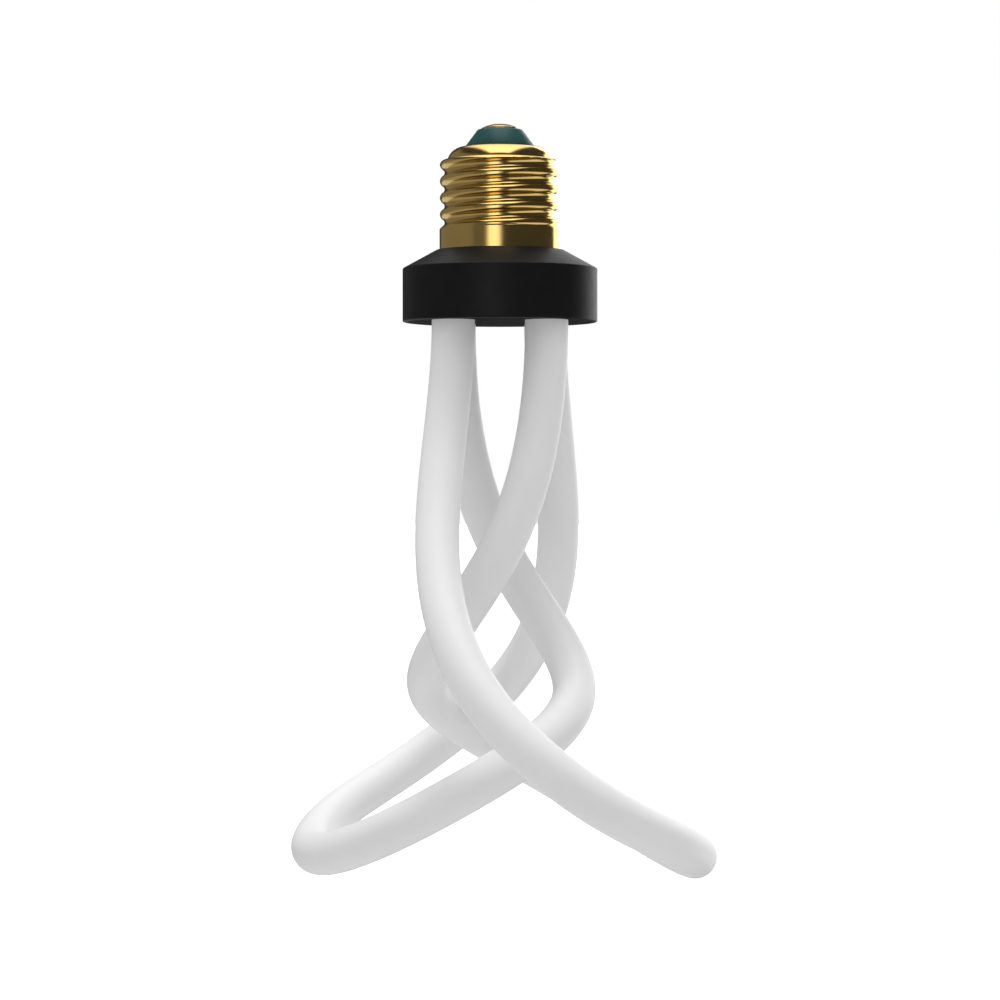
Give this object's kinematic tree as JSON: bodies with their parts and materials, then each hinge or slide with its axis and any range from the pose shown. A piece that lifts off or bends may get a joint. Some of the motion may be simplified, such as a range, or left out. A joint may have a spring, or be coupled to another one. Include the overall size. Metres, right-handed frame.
{
  "type": "designer led bulb",
  "caption": "LED lamp with a brass screw cap, a matte black collar and bent opal tubes laced through each other, for a lamp holder that shows the bulb.",
  "frame": {"origin": "on the cap's axis, where the brass skirt stands on the black collar", "axes": "+Z along the cap's axis from the collar to the centre contact, so the tubes hang toward -Z; -Y toward the viewer of the picture, +X to the right there"},
  "size_m": [0.0924, 0.118, 0.1632],
  "materials": {
    "brass": "polished, a little tarnished",
    "insulator": "satin teal",
    "collar": "matte black, finely textured",
    "opal": "matte opal white",
    "strip": "pale yellow flexible strip",
    "board": "white solder mask",
    "can": "bare can",
    "ferrite": "dark ferrite",
    "chip": "black moulded body",
    "resistor": "pale blue lacquer",
    "wire": "tinned wire"
  },
  "bodies": {
    "root": {"centre_contact": "brass", "cap_insulator": "insulator", "screw_shell": "brass", "collar": "collar", "tube_plate": "collar", "right_tube": "opal", "left_tube": "opal", "right_led_strip": "strip", "left_led_strip": "strip", "driver_board": "board", "smoothing_capacitor": "can", "inductor": "ferrite", "driver_chip": "chip", "rectifier": "chip", "fuse_resistor": "resistor", "centre_lead": "wire", "shell_lead": "wire"}
  },
  "joints": []
}
